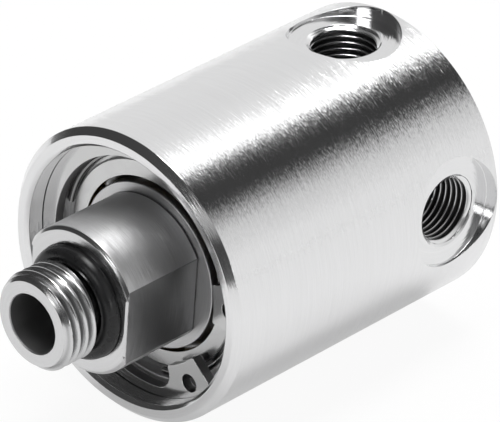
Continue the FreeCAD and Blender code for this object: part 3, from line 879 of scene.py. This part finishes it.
class DISTRIBUTOR_OT_front_bearing(bpy.types.Operator):
    """Turn the front bearing's rings with rounded edges"""

    bl_idname = "distributor.front_bearing"
    bl_label = "Front bearing"

    def execute(self, context):
        start, end = low("front_bearing_outer_ring").y, high("front_bearing_outer_ring").y
        outer_r = high("front_bearing_outer_ring").x
        seat_r = 8.5 * MM
        shoulder_r = high("front_bearing_inner_ring").x
        shield_r = high("front_bearing_front_shield").x
        recess_r = shield_r + FIT
        land_r = recess_r - 0.833 * MM
        track_y, track_depth = (start + end) / 2, 0.71 * MM
        corner, ledge, ledge_round = 0.15 * MM, 1.7 * MM, 0.1 * MM
        self.ring("inner_race", "spindle", "front_bearing_inner_ring", [
            (seat_r, start, 0.08 * MM), (shoulder_r, start, corner),
            *self.track(shoulder_r, -track_depth, track_y, -1),
            (shoulder_r, end, 0.22 * MM), (seat_r, end, 0.3 * MM),
        ])
        self.ring("outer_race", "housing", "front_bearing_outer_ring", [
            (recess_r, start, corner), (outer_r, start, 0.5 * MM), (outer_r, end, 0.5 * MM),
            (recess_r, end, corner), (recess_r, end - ledge, 0), (land_r, end - ledge, ledge_round),
            *self.track(land_r, track_depth, track_y, 1),
            (land_r, start + ledge, ledge_round), (recess_r, start + ledge, 0),
        ])
        return {"FINISHED"}

    def track(self, land_r, depth, middle, side):
        """Corners of a ball track, from its rear where side is 1 and from its front where it is -1."""
        edge, bottom = side * 1.7 * MM, side * 0.6 * MM
        return (
            (land_r, middle + edge, 0.05 * MM), (land_r + depth, middle + bottom, 0.4 * MM),
            (land_r + depth, middle - bottom, 0.4 * MM), (land_r, middle - edge, 0.05 * MM),
        )

    def ring(self, name, body, node, points):
        """One bearing ring."""
        piece = turned(name, points, 224)
        finished(piece, body, "bearing_steel", finish_of("bearing"), node)


class DISTRIBUTOR_OT_retaining_ring(bpy.types.Operator):
    """Round the stamped edges of the front retaining ring"""

    bl_idname = "distributor.retaining_ring"
    bl_label = "Retaining ring"

    def execute(self, context):
        deselect_all()
        mesh = frame["nodes"]["front_retaining_ring"].data.copy()
        mesh.name = "clip"
        piece = bpy.data.objects.new("clip", mesh)
        context.scene.collection.objects.link(piece)
        edit(piece)
        bpy.ops.mesh.select_all(action="SELECT")
        bpy.ops.mesh.remove_doubles(threshold=1e-6)
        bpy.ops.mesh.dissolve_limited(angle_limit=math.radians(0.3))
        leave()
        add_modifier(piece, "BEVEL", width=0.07 * MM, segments=3, limit_method="ANGLE",
                     angle_limit=math.radians(50), use_clamp_overlap=False)
        smooth(piece, degrees=33)
        finished(piece, "housing", "ring_steel", finish_of("ring"), "front_retaining_ring")
        return {"FINISHED"}


class DISTRIBUTOR_OT_o_ring(bpy.types.Operator):
    """Mould the O-ring of the stud with its parting line"""

    bl_idname = "distributor.o_ring"
    bl_label = "O-ring"

    def execute(self, context):
        lowest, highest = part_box("stud_o_ring")
        section_r = (highest.y - lowest.y) / 2
        centre_r = highest.x - section_r
        centre_y = (lowest.y + highest.y) / 2
        deselect_all()
        bpy.ops.mesh.primitive_torus_add(
            major_segments=160, minor_segments=40, major_radius=centre_r, minor_radius=section_r)
        piece = context.object
        piece.name = piece.data.name = "o_ring"
        edit(piece)
        bpy.ops.mesh.select_all(action="SELECT")
        move_picked(piece, lambda co: Vector((co.x, co.z + centre_y, -co.y)))
        parting_share = 0.9985
        pick(piece, "VERT", lambda vertex: abs(vertex.co.y - centre_y) < SAME_PLACE
             and from_axis(vertex.co)[0] > centre_r)
        move_picked(piece, lambda co: Vector((co.x * parting_share, co.y, co.z * parting_share)))
        bpy.ops.mesh.select_all(action="SELECT")
        bpy.ops.mesh.normals_make_consistent(inside=False)
        leave()
        smooth(piece, degrees=60)
        finished(piece, "spindle", "seal_rubber", finish_of("rubber"), "stud_o_ring")
        return {"FINISHED"}


class DISTRIBUTOR_OT_finish_inner_pieces(bpy.types.Operator):
    """Give every piece that keeps its solid its finish"""

    bl_idname = "distributor.finish_inner_pieces"
    bl_label = "Inner pieces' finishes"

    def execute(self, context):
        kinds = {
            "inner_ring": "bearing", "outer_ring": "bearing", "balls": "bearing", "cage": "brass",
            "shield": "shield", "wire": "wire", "spacer": "spacer", "washer": "spacer", "case": "shield",
            "lip": "rubber", "spring": "wire", "retaining_ring": "ring", "o_ring": "rubber",
            "housing": "body", "spindle": "spindle",
        }
        for name, node in frame["nodes"].items():
            kind = next(kinds[word] for word in sorted(kinds, key=len, reverse=True) if name.endswith(word))
            node.data.materials.clear()
            node.data.materials.append(finish_of(kind))
        return {"FINISHED"}


class DISTRIBUTOR_OT_stage(bpy.types.Operator):
    """Lay the floor, light the studio and place the camera"""

    bl_idname = "distributor.stage"
    bl_label = "Stage"

    def execute(self, context):
        scene = context.scene
        scene.view_settings.view_transform = "Standard"
        self.floor()
        self.studio(scene)
        self.camera(scene)
        return {"FINISHED"}

    def floor(self):
        """Plain pale floor under the housing."""
        deselect_all()
        bpy.ops.mesh.primitive_plane_add(size=1.2, location=(0, 0.4, low("housing").z - 0.3 * MM))
        floor = bpy.context.object
        floor.name = "floor"
        material = bpy.data.materials.new("pale_floor")
        material.use_nodes = True
        tree = material.node_tree
        shader = tree.nodes["Principled BSDF"]
        shader.inputs["Base Color"].default_value = (0.6, 0.6, 0.6, 1)
        shader.inputs["Roughness"].default_value = 0.9
        glow = add_node(tree, "ShaderNodeEmission", Strength=1.0)
        path = add_node(tree, "ShaderNodeLightPath")
        shares = (("Is Camera Ray", 0.93), ("Is Glossy Ray", 0.45), ("Is Transmission Ray", 0.88))
        seen = sum(Field(tree, path.outputs[ray]) * share for ray, share in shares)
        mix = add_node(tree, "ShaderNodeMixShader", Fac=seen)
        tree.links.new(shader.outputs[0], mix.inputs[1])
        tree.links.new(glow.outputs[0], mix.inputs[2])
        tree.links.new(mix.outputs[0], tree.nodes["Material Output"].inputs["Surface"])
        floor.data.materials.append(material)

    def studio(self, scene):
        """White to the camera. The part mirrors soft light from behind it and gloom from before it.

        A narrow panel hangs overhead, and the gloom has a window and a paler wall beside it. A small
        card lights the wall of one port.
        """
        world = bpy.data.worlds.new("studio")
        scene.world = world
        world.use_nodes = True
        tree = world.node_tree
        tree.nodes.clear()
        coordinates = add_node(tree, "ShaderNodeTexCoord")
        apart = add_node(tree, "ShaderNodeSeparateXYZ", Vector=coordinates.outputs["Generated"])
        x, y, z = (Field(tree, apart.outputs[i]) for i in range(3))
        around = z.math("ARCTAN2", z, x) / (2 * math.pi) + 0.5
        backdrop = add_node(tree, "ShaderNodeValToRGB", {"ramp": [
            (0.0, 1.08), (0.18, 0.62), (0.28, 0.8), (0.4, 1.2), (0.53, 1.22), (0.6, 0.92), (0.625, 0.5),
            (0.65, 0.06), (0.70, 0.05), (0.728, 0.25), (0.742, 1.9), (0.775, 1.8), (0.805, 1.2),
            (0.85, 1.12), (0.95, 1.14), (1.0, 1.08),
        ]}, Fac=around)
        rear = Field(tree, backdrop.outputs[0])
        panel_level, window_level, beside_level = 14.0, 4.0, 0.5
        wall_least, wall_gain, darkest, side_gain, ground = 0.12, 0.35, 0.075, 0.25, 0.95
        panel = around.between((0.712, 0.735), (0.765, 0.785)) * y.between((-0.5, -0.2), (0.36, 0.48))
        across = x / (0.0 - y)
        window_side = (0.28, 0.4)
        window = across.between((-0.25, -0.12), window_side) * window_level
        window = window + across.between(window_side, (0.6, 0.75)) * beside_level
        window = window * z.between((0.26, 0.38), (0.53, 0.58)) * (1.0 - y.step(-0.25, -0.1))
        wall = x.step(0.5, 0.6) * z.step(0.3, 0.45) * (wall_least + y.step(-0.2, -0.05) * wall_gain)
        gloom = darkest + x.step(0.66, 0.8) * side_gain + window + wall
        front = ground + z.step(-0.13, -0.08) * (gloom - ground)
        level = front + y.step(-0.1, 0.4) * (rear - front) + panel * panel_level
        seen = add_node(tree, "ShaderNodeLightPath")
        camera = Field(tree, seen.outputs["Is Camera Ray"])
        level = level + camera * (1.0 - level)
        background = add_node(tree, "ShaderNodeBackground", Strength=level)
        output = add_node(tree, "ShaderNodeOutputWorld")
        tree.links.new(background.outputs[0], output.inputs["Surface"])
        aim = Vector((0, 0.03, 0))
        lamps = (
            ("key", (-0.25, 0.35, 0.7), 3.0, 0.5),
            ("fill", (0.7, -0.4, 0.5), 1.0, 0.5),
            ("card", (0.074, -0.02, 0.011), 0.004, 0.016),
        )
        for name, place, energy, size in lamps:
            lamp = bpy.data.lights.new(name, "AREA")
            lamp.energy = energy
            lamp.size = size
            light = bpy.data.objects.new(name, lamp)
            scene.collection.objects.link(light)
            light.location = place
            light.rotation_euler = (aim - Vector(place)).to_track_quat("-Z", "Y").to_euler()
            light.visible_glossy = name == "card"
            light.visible_camera = False

    def camera(self, scene):
        """Camera at the photograph's place."""
        azimuth, elevation, roll = math.radians(44.2595), math.radians(28.4988), math.radians(-0.7921)
        distance, to_right, upward = 0.65921, 0.01596, 0.00842
        sensor, focal_pixels, picture_width = 36, 5237.5, 500
        along = math.cos(elevation)
        back = Vector((math.sin(azimuth) * along, -math.cos(azimuth) * along, math.sin(elevation)))
        right = Vector((math.cos(azimuth), math.sin(azimuth), 0))
        up = back.cross(right)
        right, up = (right * math.cos(roll) + up * math.sin(roll),
                     up * math.cos(roll) - right * math.sin(roll))
        lens = bpy.data.cameras.new("camera")
        lens.sensor_width = sensor
        lens.lens = sensor * focal_pixels / picture_width
        camera = bpy.data.objects.new("camera", lens)
        scene.collection.objects.link(camera)
        turn = Matrix((right, up, back)).transposed().to_4x4()
        face = Vector((0, low("housing").y, 0))
        offset = back * distance + right * to_right + up * upward
        camera.matrix_world = Matrix.Translation(face + offset) @ turn
        scene.camera = camera


class DISTRIBUTOR_PT_panel(bpy.types.Panel):
    """Lists the sizes, finishes and steps"""

    bl_idname = "DISTRIBUTOR_PT_panel"
    bl_label = "Rotary distributor"
    bl_space_type = "VIEW_3D"
    bl_region_type = "UI"
    bl_category = "Distributor"

    def draw(self, context):
        scene = context.scene
        for group in (scene.distributor_body, scene.distributor_spindle, scene.distributor_finishes):
            box = self.layout.box()
            for name in group.bl_rna.properties.keys():
                if name not in ("rna_type", "name"):
                    box.prop(group, name)
        for operator in OPERATORS:
            self.layout.operator(operator.bl_idname)


OPERATORS = (
    DISTRIBUTOR_OT_housing, DISTRIBUTOR_OT_spindle, DISTRIBUTOR_OT_front_bearing,
    DISTRIBUTOR_OT_retaining_ring, DISTRIBUTOR_OT_o_ring, DISTRIBUTOR_OT_finish_inner_pieces,
    DISTRIBUTOR_OT_stage,
)
GROUPS = {
    "distributor_body": BodySizes, "distributor_spindle": SpindleSizes, "distributor_finishes": Finishes,
}


def register():
    """Registers the settings, the operators and the panel."""
    for name, group in GROUPS.items():
        bpy.utils.register_class(group)
        setattr(bpy.types.Scene, name, PointerProperty(type=group))
    for item in (*OPERATORS, DISTRIBUTOR_PT_panel):
        bpy.utils.register_class(item)


def unregister():
    """Takes them away again."""
    for item in reversed((*OPERATORS, DISTRIBUTOR_PT_panel)):
        bpy.utils.unregister_class(item)
    for name, group in GROUPS.items():
        delattr(bpy.types.Scene, name)
        bpy.utils.unregister_class(group)


def main():
    """Builds the whole object."""
    register()
    for operator in OPERATORS:
        group, name = operator.bl_idname.split(".")
        getattr(getattr(bpy.ops, group), name)()


if __name__ == "__main__":
    main()
